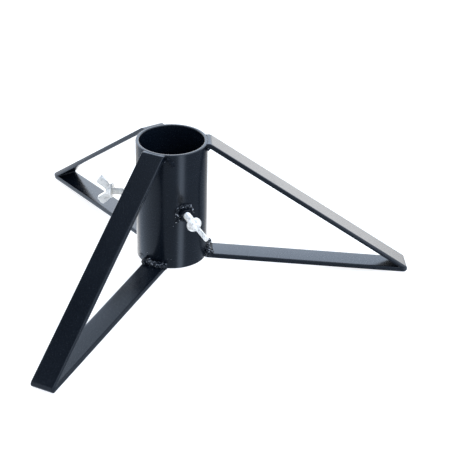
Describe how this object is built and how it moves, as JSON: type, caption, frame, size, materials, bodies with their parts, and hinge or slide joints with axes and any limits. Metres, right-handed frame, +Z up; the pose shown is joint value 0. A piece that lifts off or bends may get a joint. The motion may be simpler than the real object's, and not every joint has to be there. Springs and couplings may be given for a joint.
{
  "type": "tripod pole stand",
  "caption": "Low three-legged steel floor stand: an open tube socket takes a pole and wing screws in welded nuts clamp it.",
  "frame": {"origin": "on the floor, under the axis of the socket tube", "axes": "+Z up along the tube's axis, +X along the right leg; the other legs follow at 120 and 240 degrees"},
  "size_m": [0.3986, 0.4602, 0.158],
  "materials": {
    "black_coat": "semi-gloss black powder coat",
    "weld_coat": "powder-coated weld bead, uneven",
    "zinc_stud": "bright zinc-plated thread",
    "zinc_cast": "bright zinc-plated casting"
  },
  "bodies": {
    "frame": {"tube": "black_coat", "leg_right": "black_coat", "leg_rear": "black_coat", "leg_front": "black_coat", "tab_weld_right": "weld_coat", "tab_weld_rear": "weld_coat", "tab_weld_front": "weld_coat", "foot_weld_right": "weld_coat", "foot_weld_rear": "weld_coat", "foot_weld_front": "weld_coat", "nut_front": "black_coat", "nut_left": "black_coat", "nut_weld_front": "weld_coat", "nut_weld_left": "weld_coat"},
    "front_stud": {"screw_front": "zinc_stud"},
    "front_head": {"wing_front": "zinc_cast"},
    "left_stud": {"screw_left": "zinc_stud"},
    "left_head": {"wing_left": "zinc_cast"}
  },
  "joints": [
    {"name": "front_screw_travel", "type": "slide", "parent": "frame", "child": "front_stud", "axis": [-0.3338, 0.9426, 0], "range_m": [-0.00601, 0.01801]},
    {"name": "front_screw_turn", "type": "hinge", "parent": "front_stud", "child": "front_head", "pos_m": [0.02158, -0.06094, 0.0905], "axis": [-0.3338, 0.9426, 0], "range_deg": [-1728, 5184]},
    {"name": "left_screw_travel", "type": "slide", "parent": "frame", "child": "left_stud", "axis": [0.9744, -0.225, 0], "range_m": [-0.00601, 0.01801]},
    {"name": "left_screw_turn", "type": "hinge", "parent": "left_stud", "child": "left_head", "pos_m": [-0.06299, 0.01454, 0.0905], "axis": [0.9744, -0.225, 0], "range_deg": [-1728, 5184]}
  ],
  "couplings": [
    {"joint": "front_screw_travel", "follows": "front_screw_turn", "m_per_rad": 0.00019894},
    {"joint": "left_screw_travel", "follows": "left_screw_turn", "m_per_rad": 0.00019894}
  ]
}
